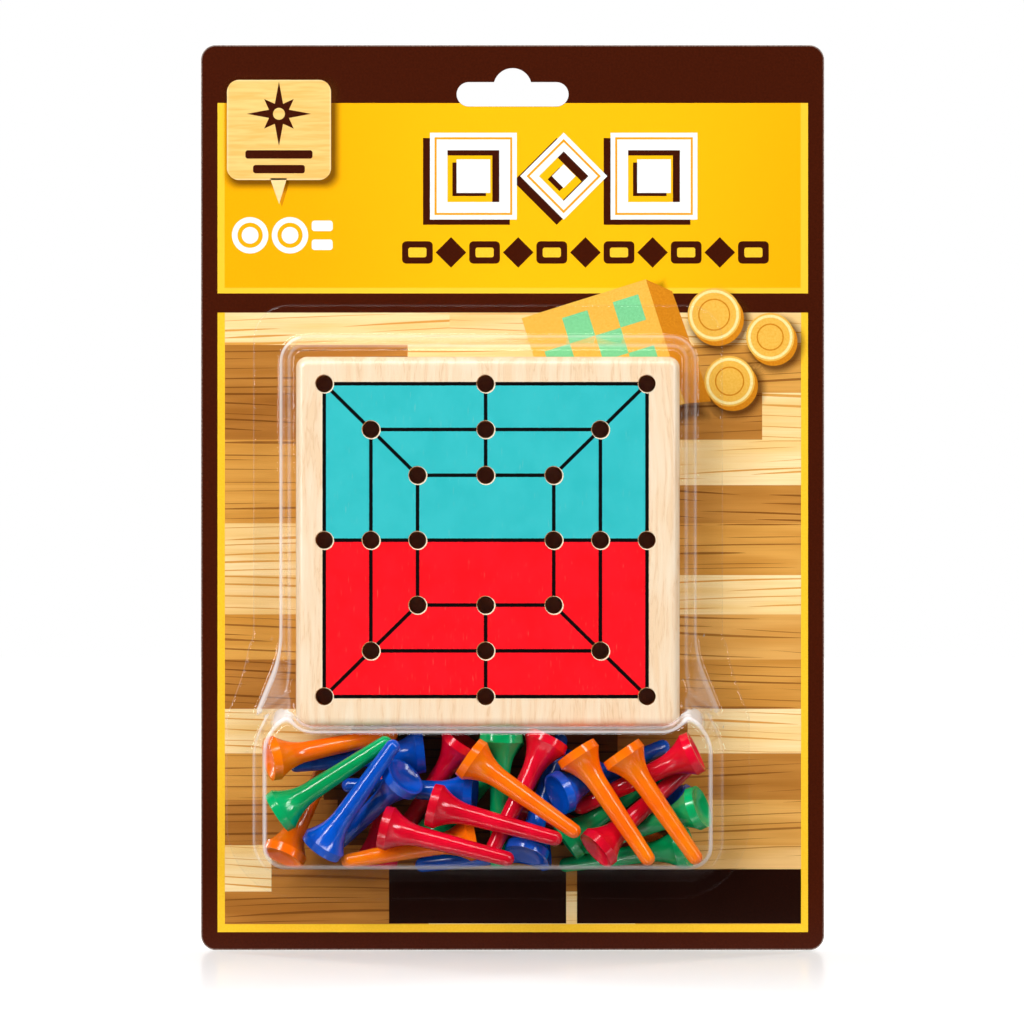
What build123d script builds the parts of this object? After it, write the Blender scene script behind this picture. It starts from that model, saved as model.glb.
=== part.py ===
from build123d import *

import math
import os

import numpy as np

# A travel nine mens morris game in its retail pack: a backing card with a hang slot, a clear blister,
# a drilled wooden board in the blister's upper cavity and a heap of loose pegs in its lower tray.
# Millimetres. The origin is the centre of the hang slot on the card's front face. X runs to the
# right, Z up, and the pack's front looks towards -Y. A depth is a distance in front of the card.

# Backing card
card_width = 178.0
card_height = 258.5
card_thickness = 0.7
card_corner = 4.2
card_top = 14.0  # slot centre to the card's top edge
slot_width = 32.0
slot_height = 7.0
slot_hump_radius = 5.5

# Board
board_width = 108.4
board_height = 104.6
board_thickness = 20.0
board_corner = 3.2
board_round = 2.8
board_drop = 127.8  # slot centre to the board's centre
hole_diameter = 4.9
hole_depth = 12.0
inner_ring_width = 38.4
inner_ring_height = 36.6
ring_step_x = 13.15
ring_step_z = 12.9
field_shift_x = -0.6  # the drilled field sits a little off the board's centre
field_shift_z = 0.5

# Blister
blister_x = -7.0  # its centre line, left of the slot
film = 0.4
draft_angle = 8.0
board_side_gap = 1.4
board_top_gap = 2.7
board_front_gap = 0.6
cavity_corner = 4.0
edge_round = 2.6  # along the front edges of the cavity and the tray
shoulder_run = 6.6  # how far the tray stands out beyond the cavity, at the front
tray_height = 37.9  # from the ledge to the floor, at the front of the tray
tray_depth = 28.8
tray_corner = 6.0
shoulder_rise = 3.6  # ledge to the outer end of each shoulder, at the card
shoulder_slope = 0.68  # rise of a shoulder for each millimetre inwards
shoulder_corner = 5.6
gusset_height = 18.7  # outer end of a shoulder to the top of its gusset, at the card
gusset_drop = 11.3  # from there down to the gusset's point
ledge_corner = 8.0
flange_side = 8.0
flange_top = 9.2
flange_bottom = 7.2
flange_corner = 10.0
flange_low_corner = 22.0
flange_sweep = 35.0  # radius of the curves where the flange widens

# Pegs
peg_length = 38.5
face_radius = 6.1
head_radius = 6.3
head_rim = 2.4
dish_radius = 5.4
dish_depth = 2.0
neck_length = 12.0  # head face to the end of the flare
neck_radius = 2.85
tip_radius = 2.1
peg_gap = 0.3  # between pegs, and from a peg to the film or the board

os.makedirs("parts", exist_ok=True)

draft = math.tan(math.radians(draft_angle))
board_z = -board_drop
board_bottom = board_z - board_height / 2

cavity_depth = board_thickness + board_front_gap + film
cavity_half = board_width / 2 + board_side_gap + film
cavity_top = board_z + board_height / 2 + board_top_gap + film
ledge_z = board_bottom - draft * (tray_depth - cavity_depth)
tray_floor = ledge_z - tray_height
shoulder_end = ledge_z + shoulder_rise
gusset_top = shoulder_end + gusset_height
gusset_tip = gusset_top - gusset_drop
cavity_foot = cavity_half + draft * cavity_depth  # half width at the card
tray_half = cavity_half + shoulder_run
tray_foot = tray_half + draft * tray_depth
floor_foot = tray_floor - draft * tray_depth


def front(depth):
    """The plane that lies `depth` in front of the card; its own x and y are the pack's X and Z."""
    return Plane.XZ.offset(depth)


def finish(piece, name):
    """Labels a finished piece and writes its STEP file."""
    piece.part.label = name
    export_step(piece.part, f"parts/{name}.step")


# ---------------------------------------------------------------- card
with BuildPart() as card:
    with BuildSketch(front(-card_thickness)):
        with Locations((0, card_top - card_height / 2)):
            RectangleRounded(card_width, card_height, card_corner)
        SlotOverall(slot_width, slot_height, mode=Mode.SUBTRACT)
        with Locations((0, slot_hump_radius - slot_height / 2)):
            Circle(slot_hump_radius, mode=Mode.SUBTRACT)
    extrude(amount=card_thickness)
finish(card, "backing_card")


# ---------------------------------------------------------------- board
def ring_points(ring):
    """The corners and the middles of the sides of one of the three rings of holes."""
    across = inner_ring_width / 2 + ring * ring_step_x
    up = inner_ring_height / 2 + ring * ring_step_z
    return [(i * across, k * up) for i in (-1, 0, 1) for k in (-1, 0, 1) if i or k]


with BuildPart() as board:
    with BuildSketch(front(0)):
        with Locations((blister_x, board_z)):
            RectangleRounded(board_width, board_height, board_corner)
    extrude(amount=board_thickness)
    fillet(board.faces().sort_by(Axis.Y)[0].edges(), board_round)
    fillet(board.faces().sort_by(Axis.Y)[-1].edges(), board_round)
    with BuildSketch(front(board_thickness)):
        with Locations((blister_x + field_shift_x, board_z + field_shift_z)):
            for ring in range(3):
                with Locations(ring_points(ring)):
                    Circle(hole_diameter / 2)
    extrude(amount=-hole_depth, mode=Mode.SUBTRACT)
finish(board, "game_board")


# ---------------------------------------------------------------- blister
def outline(right_side, radii):
    """A closed outline, symmetrical about the blister's centre line, with its corners rounded."""
    left_side = [(-x, z) for x, z in reversed(right_side)]
    points = [(blister_x + x, z) for x, z in right_side + left_side]
    FilletPolyline(*points, radius=radii + radii[::-1], close=True)


def cavity_form(inset):
    """The upper cavity as a solid: its outer surface, or with an inset the space inside the film."""
    depth = cavity_depth - inset
    top_foot = cavity_top + draft * cavity_depth - inset
    height_foot = top_foot - board_bottom
    corner_foot = cavity_corner + draft * depth - inset
    with BuildPart() as form:
        with BuildSketch(front(0)):
            with Locations((blister_x, top_foot - height_foot / 2)):
                RectangleRounded(2 * (cavity_foot - inset), height_foot, corner_foot)
        extrude(amount=depth, taper=draft_angle)
        fillet(form.faces().sort_by(Axis.Y)[0].edges(), edge_round - inset)
    return form.part


def tray_form(inset):
    """The lower tray as a solid, with the step below the board's cavity cut away."""
    depth = tray_depth - inset
    half = tray_foot - inset
    half_top = cavity_foot - inset
    end_z = shoulder_end - inset
    top_z = end_z + shoulder_slope * (half - half_top)
    right_side = [(half, floor_foot + inset), (half, end_z), (half_top, top_z)]
    grow = draft * depth - inset
    with BuildPart() as form:
        with BuildSketch(front(0)):
            with BuildLine():
                outline(right_side, [tray_corner + grow, shoulder_corner + grow, edge_round + grow])
            make_face()
        extrude(amount=depth, taper=draft_angle)
        fillet(form.faces().sort_by(Axis.Y)[0].edges(), edge_round - inset)
        with BuildSketch(front(cavity_depth - inset)):
            with Locations((blister_x, board_z)):
                RectangleRounded(2 * (cavity_half + inset), board_height + 2 * inset, ledge_corner + inset)
        extrude(amount=tray_depth, taper=-draft_angle, mode=Mode.SUBTRACT)
    return form.part


def gusset_form(side, inset):
    """The web in the corner between the cavity's side and a shoulder: a triangle drawn to a point."""

    def place(x, z):
        return (blister_x + side * (x - inset), z - inset)

    with BuildPart() as form:
        with BuildSketch(front(0)):
            with BuildLine():
                Polyline(
                    place(cavity_foot, gusset_top),
                    place(tray_foot, shoulder_end),
                    place(board_width / 2, shoulder_end),
                    close=True,
                )
            make_face()
        tip_x, tip_z = place(cavity_half, gusset_tip)
        loft(sections=[form.pending_faces[0], Vertex(tip_x, inset - cavity_depth, tip_z)])
    return form.part


def flange_sheet():
    """The flat sheet round the foot of the blister that is sealed to the card."""
    low = tray_foot + flange_side
    high = cavity_foot + flange_side
    right_side = [
        (low, floor_foot - flange_bottom),
        (low, shoulder_end),
        (high, gusset_top),
        (high, cavity_top + draft * cavity_depth + flange_top),
    ]
    with BuildPart() as sheet:
        with BuildSketch(front(0)):
            with BuildLine():
                outline(right_side, [flange_low_corner, flange_sweep, flange_sweep, flange_corner])
            make_face()
        extrude(amount=film)
    return sheet.part


with BuildPart() as blister:
    add(cavity_form(0))
    add(tray_form(0))
    add(gusset_form(-1, 0))
    add(gusset_form(1, 0))
    add(flange_sheet())
    add(cavity_form(film), mode=Mode.SUBTRACT)
    add(tray_form(film), mode=Mode.SUBTRACT)
    add(gusset_form(-1, film), mode=Mode.SUBTRACT)
    add(gusset_form(1, film), mode=Mode.SUBTRACT)
finish(blister, "blister")


# ---------------------------------------------------------------- pegs
flare_length = neck_length - head_rim
flare_step = head_radius - neck_radius
flare_radius = (flare_length**2 + flare_step**2) / (2 * flare_step)
tip_start = peg_length - tip_radius

# How each peg lies: its colour, the place of its face as hundredths of the tray's half width, height and
# depth (right of the centre line, above the floor, in front of the card), the heading of its shaft in
# degrees (0 right, 90 up) and its lean towards the viewer.
front_lies = [
    ("orange", -99, 79, 66, 11, -17),
    ("green", -95, 39, 70, 33, 2),
    ("blue", -76, 13, 63, 54, 12),
    ("orange", -93, 5, 55, 65, -22),
    ("blue", -37, 66, 72, -135, -30),
    ("blue", -29, 84, 28, -174, 3),
    ("red", -11, 92, 34, -122, -12),
    ("red", -47, 29, 75, -14, 7),
    ("red", -25, 46, 75, -16, 7),
    ("orange", -6, 20, 55, -170, 2),
    ("orange", -9, 82, 76, -34, 4),
    ("blue", -6, 53, 50, 177, -10),
    ("green", 6, 98, 49, -93, -2),
    ("red", 27, 95, 49, -117, 10),
    ("orange", 40, 86, 75, -57, 7),
    ("orange", 59, 85, 75, -54, 4),
    ("blue", 32, 54, 68, 24, -24),
    ("red", 94, 85, 63, -155, -6),
    ("red", 48, 11, 77, 41, -18),
    ("green", 96, 45, 66, -159, -18),
    ("green", 90, 13, 48, -170, -17),
    ("green", 35, 17, 46, 36, -5),
    ("blue", 17, 8, 64, 73, -24),
]
back_lies = [
    ("blue", 27, 11, 23, -172, -6),
    ("red", -49, -4, 29, 86, -9),
    ("orange", 37, 55, 23, -31, -4),
    ("blue", 90, 42, 24, 158, -7),
    ("red", 11, 48, 23, -25, -7),
    ("green", -23, 18, 23, 51, -7),
]

# The settling: every lie above is roughly where its peg came to rest. The pegs are pushed apart, and off
# the film and the board, a little at a time, until each is clear of the rest.
settle_steps = 900
settle_clear = 0.12  # how much of peg_gap may be left unmade
push_share = 0.9  # how much of an overlap one step undoes
front_share = 0.1  # pegs at the front give way this much, those behind them fully
home_share = 0.044  # how strongly a peg is drawn back to its rough lie, until home_steps have passed
home_steps = 0.7 * settle_steps
longest_move = 0.6
balance = 0.42 * peg_length  # a peg turns about the point this far along it
turn_weight = peg_length**2 / 8
ring_feelers = 24
face_feelers = 8
feeler_pitch = 1.5
edge_feeler = 0.4
tiny = 1e-9


def radius_along(t):
    """A peg's radius at a distance t from its face, from the rim on."""
    left = np.clip(neck_length - t, 0, flare_length)
    flare = neck_radius + flare_radius - np.sqrt(flare_radius**2 - left**2)
    taper = (t - neck_length) / (peg_length - neck_length)
    return np.where(t < neck_length, flare, neck_radius + (tip_radius - neck_radius) * taper)


def ring_of_feelers(count, along, off_axis, radius):
    """A ring of small balls round a peg's axis: distance from the face, off the axis, angle, radius."""
    return [(along, off_axis, 2 * math.pi * k / count, radius) for k in range(count)]


def peg_feelers():
    """Small balls that fill a peg's skin, by which it touches what lies against it."""
    edge = head_radius - edge_feeler
    feelers = ring_of_feelers(ring_feelers, edge_feeler, edge, edge_feeler)
    feelers += ring_of_feelers(ring_feelers, head_rim - edge_feeler, edge, edge_feeler)
    feelers += ring_of_feelers(face_feelers, head_rim / 2, dish_radius / 2, head_rim / 2)
    for t in np.arange(head_rim + feeler_pitch, tip_start, feeler_pitch):
        feelers += ring_of_feelers(1, t, 0, float(radius_along(t)))
    feelers += ring_of_feelers(1, tip_start, 0, tip_radius)
    return np.array(feelers).T


def box_distance(past_a, past_b):
    """Distance outside a square corner, from how far past each of its two sides, and both its slopes."""
    beyond_a = np.maximum(past_a, 0)
    beyond_b = np.maximum(past_b, 0)
    corner = np.hypot(beyond_a, beyond_b)
    divisor = np.maximum(corner, tiny)
    slope_a = np.where(corner > 0, beyond_a / divisor, past_a > past_b)
    slope_b = np.where(corner > 0, beyond_b / divisor, past_a <= past_b)
    return corner + np.minimum(np.maximum(past_a, past_b), 0), slope_a, slope_b


def peg_distance(t, off_axis):
    """Distance from a peg's skin, outwards, and its slopes along the axis and away from it."""
    from_middle = t - head_rim / 2
    to_head, head_along, head_away = box_distance(np.abs(from_middle) - head_rim / 2, off_axis - head_radius)
    nearest = np.clip(t, head_rim, tip_start)
    reach = np.maximum(np.hypot(t - nearest, off_axis), tiny)
    to_shaft = reach - radius_along(nearest)
    head = to_head < to_shaft
    along = np.where(head, head_along * np.sign(from_middle), (t - nearest) / reach)
    away = np.where(head, head_away, off_axis / reach)
    return np.where(head, to_head, to_shaft), along, away


def tray_distance(places):
    """Distance from the tray's walls, floor and front, inwards, and the direction in which it grows."""
    x, z, depth = places.T
    corner = tray_corner + draft * (tray_depth - depth)
    past_side = np.abs(x - blister_x) - (tray_foot - film - draft * depth - corner)
    past_floor = floor_foot + film + draft * depth + corner - z
    past_wall, side_slope, floor_slope = box_distance(past_side, past_floor)
    inner_round = edge_round - film
    past_round = past_wall - corner + inner_round
    past_front = depth - (tray_depth - film) + inner_round
    outside, wall_slope, front_slope = box_distance(past_round, past_front)
    inwards = [-np.sign(x - blister_x) * side_slope * wall_slope, floor_slope * wall_slope, -front_slope]
    return inner_round - outside, np.stack(inwards, axis=1)


def ceiling_distance(places, radii):
    """Distance below the board, or below the ledge for what lies in front of the board."""
    behind_board = places[:, 2] - radii < cavity_depth
    ceiling = np.where(behind_board, board_bottom, ledge_z - film - edge_round / 2)
    return ceiling - places[:, 1]


def feeler_places(face, axis, feelers):
    """Where each feeler of each peg is: X, Z and depth, peg after peg."""
    along, off_axis, angle, radius = feelers
    across = np.cross(axis, [0.0, 0.0, 1.0])
    across /= np.linalg.norm(across, axis=1)[:, None]
    third = np.cross(axis, across)
    places = face[:, None] + along[:, None] * axis[:, None]
    places += (off_axis * np.cos(angle))[:, None] * across[:, None]
    places += (off_axis * np.sin(angle))[:, None] * third[:, None]
    return places.reshape(-1, 3)


def peg_contacts(face, axis, owner, places, radii):
    """Every feeler of one peg that is too near another: both pegs, the place, the push and its size."""
    offset = places[None] - face[:, None]
    t = np.sum(offset * axis[:, None], axis=2)
    away = offset - t[:, :, None] * axis[:, None]
    off_axis = np.sqrt(np.sum(away**2, axis=2))
    gap, slope_along, slope_away = peg_distance(t, off_axis)
    own = owner[None] == np.arange(len(face))[:, None]
    overlap = np.where(own, 0, peg_gap + radii[None] - gap)
    hit, feeler = np.nonzero(overlap > 0)
    away_way = away[hit, feeler] / np.maximum(off_axis[hit, feeler], tiny)[:, None]
    along_way = axis[hit]
    outwards = slope_along[hit, feeler][:, None] * along_way + slope_away[hit, feeler][:, None] * away_way
    push = outwards * overlap[hit, feeler][:, None]
    contacts = [(owner[feeler], places[feeler], push), (hit, places[feeler], -push)]
    return contacts, overlap.max()


def tray_contacts(owner, places, radii):
    """Every feeler that is too near the film, the card or the board."""
    wall_gap, inwards = tray_distance(places)
    forwards = np.array([0.0, 0.0, 1.0])
    down = np.array([0.0, -1.0, 0.0])
    contacts = []
    worst = 0
    for gap, way in (
        (wall_gap, inwards),
        (places[:, 2], forwards),
        (ceiling_distance(places, radii), down),
    ):
        overlap = peg_gap + radii - gap
        touched = np.nonzero(overlap > 0)[0]
        push = np.broadcast_to(way, places.shape)[touched] * overlap[touched][:, None]
        contacts.append((owner[touched], places[touched], push))
        worst = max(worst, overlap.max())
    return contacts, worst


def settle(lies):
    """Moves the pegs apart from their rough lies until each is clear of the others and of the tray."""
    feelers = peg_feelers()
    count = len(lies)
    owner = np.repeat(np.arange(count), feelers.shape[1])
    radii = np.tile(feelers[3], count)
    x, up, depth = np.array([lie[1:4] for lie in lies], float).T / 100
    heading, lean = np.radians(np.array([lie[4:] for lie in lies], float)).T
    face = np.stack([blister_x + x * tray_half, tray_floor + up * tray_height, depth * tray_depth], axis=1)
    level = np.cos(lean)
    axis = np.stack([level * np.cos(heading), level * np.sin(heading), np.sin(lean)], axis=1)
    share = np.where(np.arange(count) < len(front_lies), front_share, 1.0)[:, None]
    home_centre = face + balance * axis
    home_axis = axis.copy()
    for step in range(settle_steps):
        places = feeler_places(face, axis, feelers)
        contacts, worst_peg = peg_contacts(face, axis, owner, places, radii)
        more_contacts, worst_wall = tray_contacts(owner, places, radii)
        if max(worst_peg, worst_wall) < settle_clear:
            break
        centre = face + balance * axis
        force = np.zeros_like(face)
        torque = np.zeros_like(face)
        touches = np.zeros(count)
        for peg, place, push in contacts + more_contacts:
            np.add.at(force, peg, push)
            np.add.at(torque, peg, np.cross(place - centre[peg], push))
            np.add.at(touches, peg, 1.0)
        give = share + (1 - share) * step / (2 * settle_steps)
        scale = push_share * give / np.maximum(touches, 1)[:, None]
        move = scale * force
        move *= np.minimum(1, longest_move / np.maximum(np.linalg.norm(move, axis=1), tiny))[:, None]
        home = home_share * (1 - front_share * share) * max(0, 1 - step / home_steps)
        centre += move
        centre += home * (home_centre - centre)
        axis = axis + np.cross(scale * torque / turn_weight, axis)
        axis += home * (home_axis - axis)
        # Rounded at each step, so that the heap comes to rest the same way on every computer.
        axis = np.round(axis / np.linalg.norm(axis, axis=1)[:, None], 7)
        face = np.round(centre - balance * axis, 6)
    return face, axis


def peg_profile():
    """Half of a peg's section: x is the distance off the axis, y the distance from the face."""
    dish = TangentArc((0, dish_depth), (dish_radius, 0), tangent=(1, 0))
    Polyline(dish @ 1, (face_radius, 0), (head_radius, head_rim))
    flare = TangentArc((neck_radius, neck_length), (head_radius, head_rim), tangent=(0, -1))
    shaft = Line(flare @ 0, (tip_radius, tip_start))
    tip = TangentArc(shaft @ 1, (0, peg_length), tangent=(0, 1))
    Line(tip @ 1, dish @ 0)


lies = front_lies + back_lies
faces, axes = settle(lies)
made = {}
for (colour, *lie), (x, z, depth), (along_x, along_z, lean_out) in zip(lies, faces, axes):
    made[colour] = made.get(colour, 0) + 1
    shaft_way = Vector(along_x, -lean_out, along_z)
    side_way = shaft_way.cross(Vector(0, 1, 0))
    section = Plane(origin=(x, -depth, z), x_dir=side_way, z_dir=side_way.cross(shaft_way))
    with BuildPart() as peg:
        with BuildSketch(section):
            with BuildLine():
                peg_profile()
            make_face()
        revolve(axis=Axis(section.origin, section.y_dir))
    finish(peg, f"peg_{colour}_{made[colour]}")
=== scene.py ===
import functools
import math

import bmesh
import bpy
import numpy as np
from mathutils import Matrix, Vector


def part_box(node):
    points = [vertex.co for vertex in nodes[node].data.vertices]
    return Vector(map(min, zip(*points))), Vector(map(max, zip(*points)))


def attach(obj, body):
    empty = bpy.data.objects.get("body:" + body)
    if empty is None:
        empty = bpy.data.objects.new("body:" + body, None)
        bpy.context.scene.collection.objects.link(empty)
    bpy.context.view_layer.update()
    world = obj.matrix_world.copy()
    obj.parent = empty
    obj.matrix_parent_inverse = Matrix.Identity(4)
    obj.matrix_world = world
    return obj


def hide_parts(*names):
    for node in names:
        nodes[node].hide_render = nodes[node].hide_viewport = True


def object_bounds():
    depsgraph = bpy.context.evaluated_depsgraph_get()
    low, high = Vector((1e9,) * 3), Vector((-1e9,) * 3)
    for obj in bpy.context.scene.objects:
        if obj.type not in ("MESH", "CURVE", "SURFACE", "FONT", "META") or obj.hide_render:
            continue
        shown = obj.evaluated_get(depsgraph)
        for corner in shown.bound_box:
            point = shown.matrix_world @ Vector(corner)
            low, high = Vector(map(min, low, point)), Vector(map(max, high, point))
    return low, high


# The looks of a travel nine mens morris game in its blister pack. Sizes are written in millimetres and
# turned into metres where a mesh is made. The origin is the centre of the card's hang slot, on its front
# face; X runs right, Z up, and the front looks towards -Y. A depth is a distance in front of the card.

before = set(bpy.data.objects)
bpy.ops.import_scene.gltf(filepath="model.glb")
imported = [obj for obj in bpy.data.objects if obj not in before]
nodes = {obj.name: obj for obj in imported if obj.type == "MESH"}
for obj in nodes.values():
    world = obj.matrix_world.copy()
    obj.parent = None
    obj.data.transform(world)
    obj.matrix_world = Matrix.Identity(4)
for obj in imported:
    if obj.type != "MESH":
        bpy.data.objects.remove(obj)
cad_low, cad_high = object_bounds()
scene = bpy.context.scene
MM = 0.001

# ---------------------------------------------------------------- camera, lamps and stage
CARD_BOTTOM = cad_low.z / MM
CAMERA_DISTANCE = 1500.0
CAMERA_X = -0.17
CAMERA_Z = -119.36
VIEW_WIDTH = 292.57  # what the picture shows across, at the card

camera_data = bpy.data.cameras.new("camera")
camera = bpy.data.objects.new("camera", camera_data)
scene.collection.objects.link(camera)
camera.location = (CAMERA_X * MM, -CAMERA_DISTANCE * MM, CAMERA_Z * MM)
camera.rotation_euler = (math.pi / 2, 0, 0)
camera_data.sensor_width = 36.0
camera_data.lens = 36.0 * CAMERA_DISTANCE / VIEW_WIDTH
camera_data.clip_end = 50
scene.camera = camera
scene.view_settings.view_transform = "Standard"

LAMP_AIM = Vector((0, 0, -0.12))
LAMP_DISTANCE = 2.2


def lamp(name, azimuth, tilt, power, size=(1.0, 0.38), colour=(1, 1, 1)):
    """A soft lamp in an arc round the pack, with its long side along the arc. Azimuth is counted from the
    right and over the top, tilt from the line to the camera. Degrees, watts and metres."""
    a, t = math.radians(azimuth), math.radians(tilt)
    out = Vector((math.sin(t) * math.cos(a), -math.cos(t), math.sin(t) * math.sin(a)))
    along = Vector((-math.sin(a), 0, math.cos(a)))
    turn = Matrix((along, out.cross(along), out)).transposed().to_4x4()
    data = bpy.data.lights.new(name, "AREA")
    data.shape = "RECTANGLE"
    data.size, data.size_y = size
    data.energy = power
    data.color = colour
    obj = bpy.data.objects.new(name, data)
    obj.matrix_world = Matrix.Translation(LAMP_AIM + out * LAMP_DISTANCE) @ turn
    scene.collection.objects.link(obj)


lamp("left", 165, 52, 15.0, size=(0.8, 0.42))
lamp("upper_left", 130, 46, 23.0, size=(1.0, 0.42), colour=(1, 0.99, 0.97))
lamp("top", 90, 52, 11.0, size=(1.0, 0.42))
lamp("upper_right", 50, 50, 11.0, size=(1.0, 0.42))
lamp("right", 15, 52, 11.0, size=(0.8, 0.42), colour=(0.98, 0.99, 1))
lamp("rear_left", 160, 128, 18.0)
lamp("rear_right", 20, 128, 18.0)


# ---------------------------------------------------------------- node helpers
def new_material(name):
    material = bpy.data.materials.new(name)
    material.use_nodes = True
    material.node_tree.nodes.clear()
    return material


class Graph:
    """A short way to write a node tree. Most calls add a node or two and return an output socket."""

    def __init__(self, tree):
        self.tree = tree

    def put(self, socket, value):
        if isinstance(value, bpy.types.NodeSocket):
            self.tree.links.new(value, socket)
        elif value is not None:
            socket.default_value = value

    def node(self, kind, inputs=None, **settings):
        node = self.tree.nodes.new(kind)
        for key, value in settings.items():
            setattr(node, key, value)
        for key, value in (inputs or {}).items():
            self.put(node.inputs[key], value)
        return node

    def math(self, operation, a, b=None, c=None, clamp=False):
        node = self.node("ShaderNodeMath", operation=operation, use_clamp=clamp)
        for socket, value in zip(node.inputs, (a, b, c)):
            self.put(socket, value)
        return node.outputs[0]

    def times(self, a, b):
        return self.math("MULTIPLY", a, b)

    def plus(self, a, b):
        return self.math("ADD", a, b)

    def minus(self, a, b):
        return self.math("SUBTRACT", a, b)

    def larger(self, a, b):
        return self.math("MAXIMUM", a, b)

    def smaller(self, a, b):
        return self.math("MINIMUM", a, b)

    def absolute(self, a):
        return self.math("ABSOLUTE", a)

    def length(self, a, b):
        """The length of a vector with sides a and b."""
        return self.math("SQRT", self.plus(self.math("POWER", a, 2), self.math("POWER", b, 2)))

    def point(self):
        """X, Y and Z in the row frame, in millimetres."""
        place = self.node("ShaderNodeTexCoord").outputs["Object"]
        split = self.node("ShaderNodeSeparateXYZ", {0: place})
        return [self.times(out, 1 / MM) for out in split.outputs]

    def vector(self, x, y, z):
        return self.node("ShaderNodeCombineXYZ", {0: x, 1: y, 2: z}).outputs[0]

    def noise(self, vector, scale=1.0, detail=2.0, roughness=0.5, distortion=0.0):
        node = self.node("ShaderNodeTexNoise", {"Vector": vector, "Scale": scale, "Detail": detail,
                                                "Roughness": roughness, "Distortion": distortion})
        return node.outputs[0]

    def ramp(self, value, low, high, out_low=0.0, out_high=1.0):
        node = self.node("ShaderNodeMapRange", interpolation_type="SMOOTHSTEP")
        for socket, number in zip(node.inputs, (value, low, high, out_low, out_high)):
            self.put(socket, number)
        return node.outputs[0]

    def mix(self, share, a, b):
        node = self.node("ShaderNodeMix", data_type="RGBA")
        self.put(node.inputs[0], share)
        self.put(node.inputs[6], a)
        self.put(node.inputs[7], b)
        return node.outputs[2]

    def bump(self, height, distance, strength=1.0):
        inputs = {"Height": height, "Distance": distance * MM, "Strength": strength}
        return self.node("ShaderNodeBump", inputs).outputs[0]

    def attribute(self, name):
        return self.node("ShaderNodeAttribute", attribute_name=name).outputs["Fac"]

    def surface(self, colour, roughness, normal=None, **settings):
        shader = self.node("ShaderNodeBsdfPrincipled", {"Base Color": colour, "Roughness": roughness})
        self.put(shader.inputs["Normal"], normal)
        for key, value in settings.items():
            self.put(shader.inputs[key.replace("_", " ")], value)
        self.output(shader.outputs[0])

    def output(self, socket):
        self.node("ShaderNodeOutputMaterial", {"Surface": socket})


def rgb(code):
    """A colour as written on screen, such as "F6DDB4", as Blender's linear numbers."""
    parts = [int(code[i:i + 2], 16) / 255 for i in (0, 2, 4)]
    return tuple(c / 12.92 if c <= 0.04045 else ((c + 0.055) / 1.055) ** 2.4 for c in parts) + (1.0,)


# ---------------------------------------------------------------- world and floor
AMBIENT = 0.12
ROOM_AHEAD = 0.03  # gloss mirrors a room that is dark in front of the pack and white behind it

world = bpy.data.worlds.new("world")
scene.world = world
world.use_nodes = True
world.node_tree.nodes.clear()
sky = Graph(world.node_tree)
ray = sky.node("ShaderNodeLightPath")
seen = sky.math("ADD", ray.outputs["Is Camera Ray"], ray.outputs["Is Transmission Ray"], clamp=True)
way = sky.node("ShaderNodeSeparateXYZ", {0: sky.node("ShaderNodeTexCoord").outputs["Generated"]})
room = sky.ramp(way.outputs[1], 0.0, 0.6, ROOM_AHEAD, 1.0)
lit = sky.math("MULTIPLY_ADD", ray.outputs["Is Glossy Ray"], sky.minus(room, AMBIENT), AMBIENT)
strength = sky.math("MULTIPLY_ADD", seen, sky.minus(1.0, lit), lit)
glow = sky.node("ShaderNodeBackground", {"Color": (1, 1, 1, 1), "Strength": strength})
sky.node("ShaderNodeOutputWorld", {"Surface": glow.outputs[0]})

floor_material = new_material("floor")
g = Graph(floor_material.node_tree)
ray = g.node("ShaderNodeLightPath")
x, y, z = g.point()
ahead = g.times(ray.outputs["Is Glossy Ray"], g.ramp(y, -10, -90, 0.0, 0.98))
unseen = g.larger(ahead, g.times(ray.outputs["Is Diffuse Ray"], 0.7))
# Little of the floor's light comes back to the pack.
pale = g.mix(unseen, (0.93, 0.93, 0.935, 1), (0, 0, 0, 1))
matte = g.node("ShaderNodeBsdfDiffuse", {"Color": pale})
shine = g.node("ShaderNodeBsdfGlossy", {"Color": (1, 1, 1, 1), "Roughness": 0.2})
# Further out it gives light of its own, until it can't be told from the white behind it.
away = g.length(x, y)
lift_strength = g.larger(g.ramp(away, 60, 760, 0.13, 0.9), g.ramp(y, -12, 20, 0.0, 0.7))
lift_strength = g.larger(lift_strength, g.ramp(away, 600, 1500, 0.0, 1.0))
lift_strength = g.times(ray.outputs["Is Camera Ray"], lift_strength)
lift = g.node("ShaderNodeEmission", {"Color": (1, 1, 1, 1), "Strength": lift_strength})
lit = g.node("ShaderNodeAddShader", {0: matte.outputs[0], 1: lift.outputs[0]})
mirror = g.times(g.ramp(y, -10, -170, 0.26, 0.05), g.ramp(away, 250, 900, 1.0, 0.0))
g.output(g.node("ShaderNodeMixShader", {0: mirror, 1: lit.outputs[0], 2: shine.outputs[0]}).outputs[0])


def mesh_object(name, points, faces, materials, smooth=False):
    """A mesh from points in millimetres, each (x, depth, z) with depth in front of the card."""
    mesh = bpy.data.meshes.new(name)
    mesh.from_pydata([(x * MM, -d * MM, z * MM) for x, d, z in points], [], faces)
    for material in materials:
        mesh.materials.append(material)
    mesh.polygons.foreach_set("use_smooth", [smooth] * len(mesh.polygons))
    obj = bpy.data.objects.new(name, mesh)
    scene.collection.objects.link(obj)
    return obj


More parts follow.
